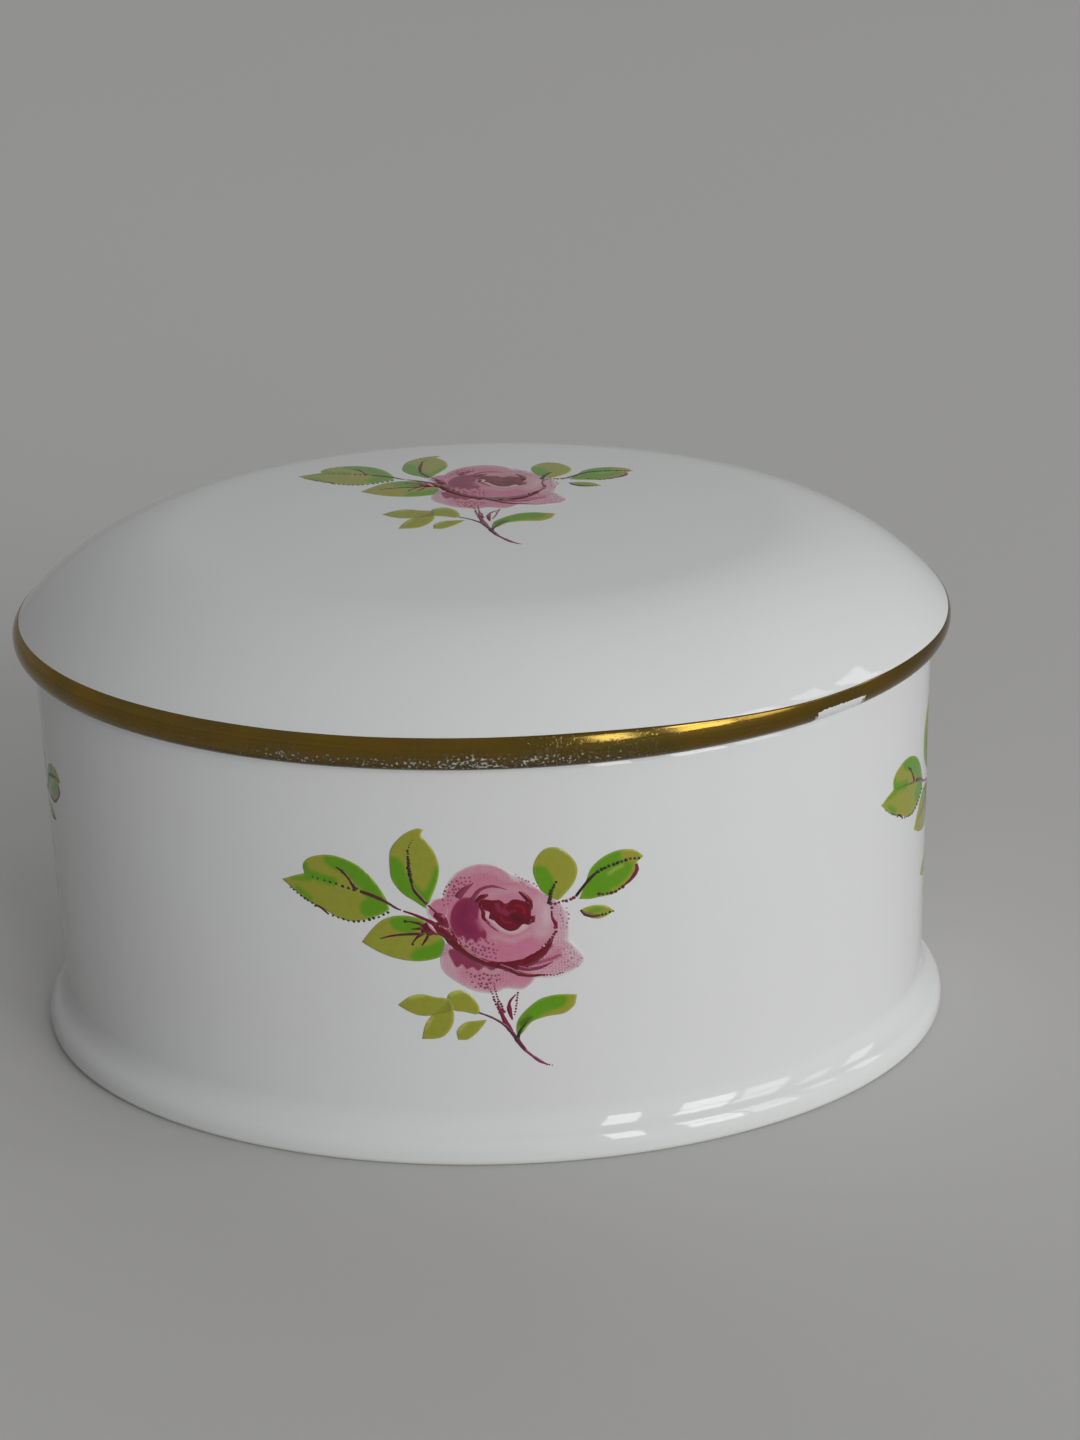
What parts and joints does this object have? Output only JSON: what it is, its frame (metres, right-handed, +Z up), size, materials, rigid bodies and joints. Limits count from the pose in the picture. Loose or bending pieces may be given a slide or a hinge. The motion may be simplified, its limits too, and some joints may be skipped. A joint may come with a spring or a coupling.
{
  "type": "trinket box",
  "caption": "Oval porcelain trinket box with straight sides, a flared foot and a low domed lid that lifts off, with a gilded lip and fired rose sprigs.",
  "frame": {"origin": "on the table, under the middle of the box", "axes": "+X along the box's length, to the right as the front sprig is seen; +Y to the back; +Z up, the way the lid lifts"},
  "size_m": [0.0956, 0.0682, 0.0565],
  "materials": {
    "cup_china": "gloss glaze on white bone china, bare on the ring it stands on",
    "lid_china": "gloss glaze on white bone china, bare on the seat and flange",
    "gilding": "burnished gilding, worn along its lower edge",
    "rose_print": "on-glaze fired transfer, gloss"
  },
  "bodies": {
    "cup": {"cup": "cup_china", "front_transfer": "rose_print", "right_transfer": "rose_print", "back_transfer": "rose_print", "left_transfer": "rose_print"},
    "lid": {"lid": "lid_china", "lip_gilding": "gilding", "lid_transfer": "rose_print"}
  },
  "joints": [
    {"name": "lid_lift", "type": "slide", "parent": "cup", "child": "lid", "axis": [0, 0, 1], "range_m": [0, 0.06]}
  ]
}
